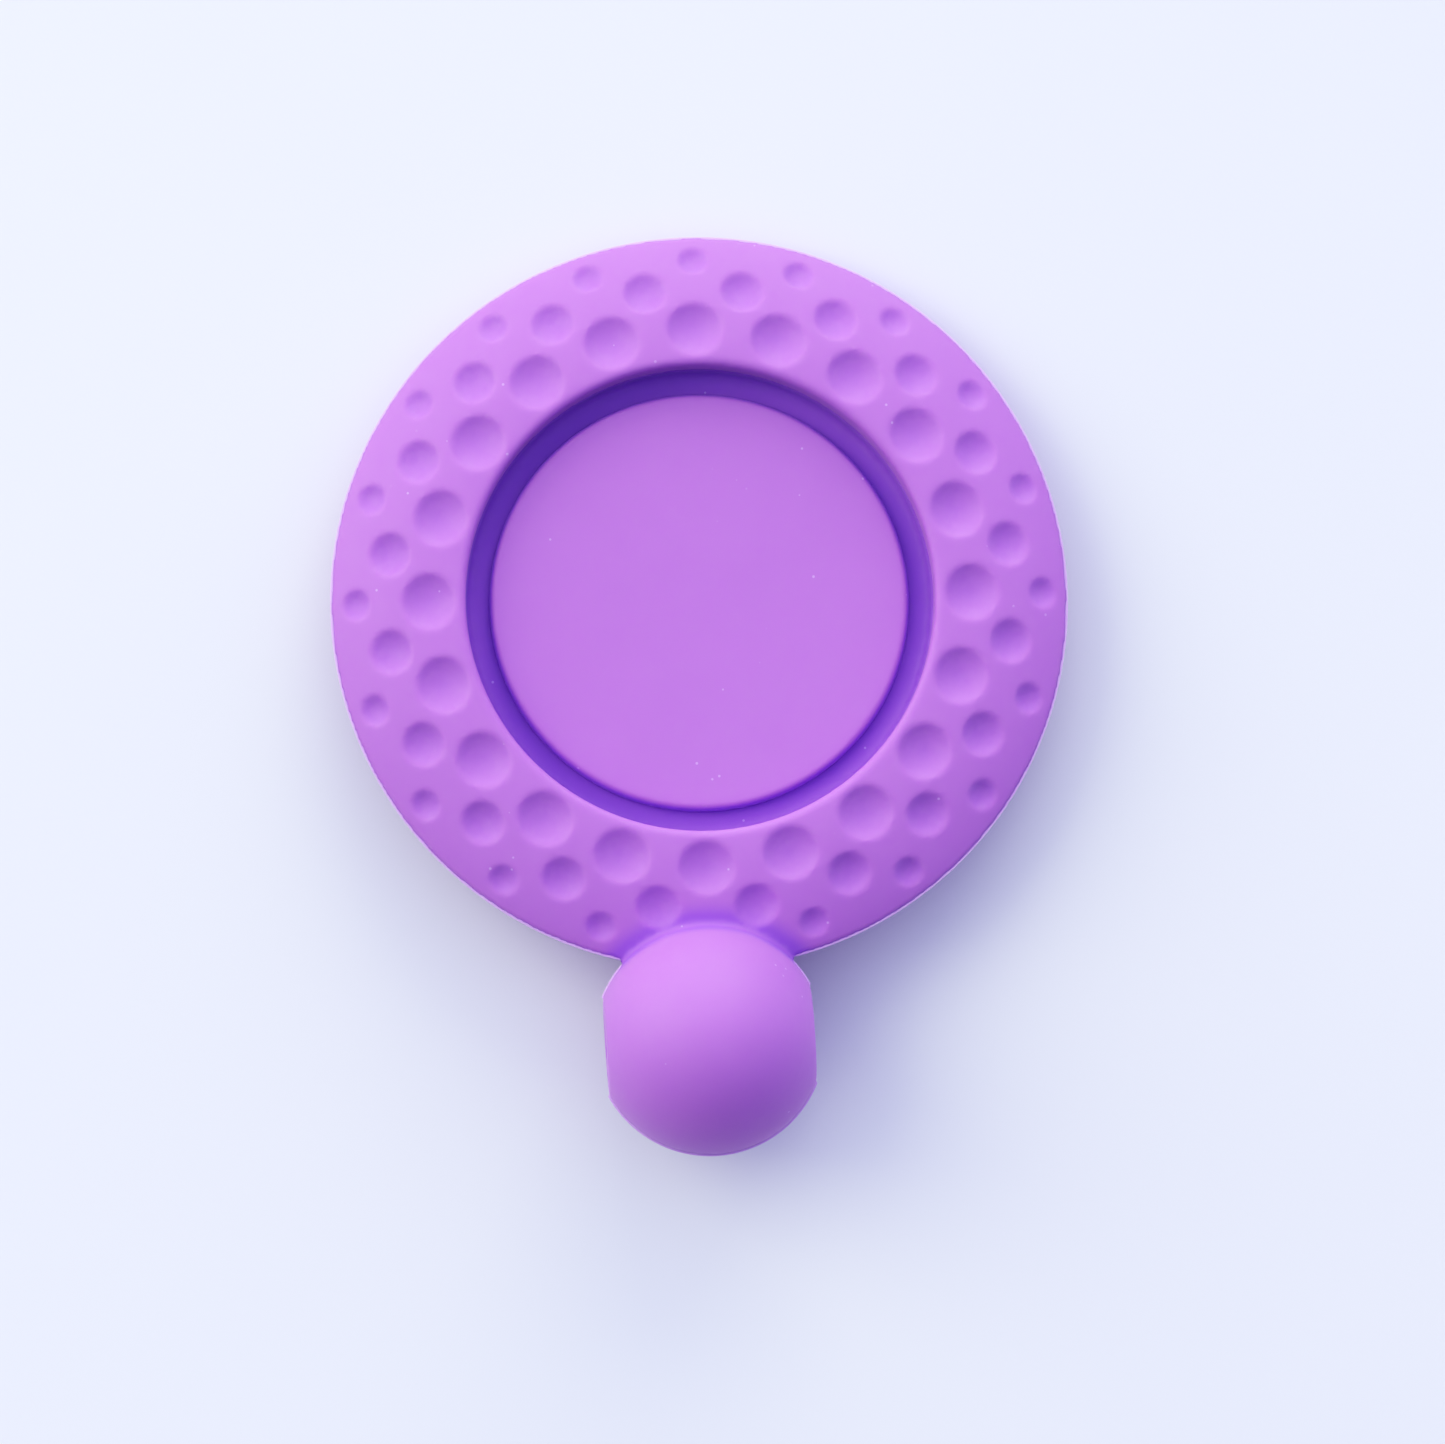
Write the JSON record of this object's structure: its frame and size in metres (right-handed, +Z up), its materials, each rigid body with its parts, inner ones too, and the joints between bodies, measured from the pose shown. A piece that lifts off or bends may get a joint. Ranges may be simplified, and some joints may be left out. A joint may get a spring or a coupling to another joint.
{
  "type": "resin casting mould",
  "caption": "Small two-part silicone casting mould: a dimpled ring and a plain base with a split bead on the rim, around a loose round core.",
  "frame": {"origin": "centre of the disc's flat underside", "axes": "+Z up the disc's axis, square to the parting plane, towards the dimpled face; -Y from the disc towards the bead; the flats of the bead face -X and +X"},
  "size_m": [0.05, 0.0627, 0.0155],
  "materials": {
    "silicone_upper": "matt moulded silicone, slightly translucent",
    "silicone_lower": "matt moulded silicone, slightly translucent",
    "silicone_core": "matt moulded silicone, slightly translucent"
  },
  "bodies": {
    "base": {"lower_half": "silicone_lower"},
    "top": {"upper_half": "silicone_upper"},
    "middle": {"core": "silicone_core"}
  },
  "joints": [
    {"name": "upper_half_lift", "type": "slide", "parent": "base", "child": "top", "axis": [0, 0, 1], "range_m": [0, 0.016]},
    {"name": "core_lift", "type": "slide", "parent": "base", "child": "middle", "axis": [0, 0, 1], "range_m": [0, 0.008]}
  ]
}
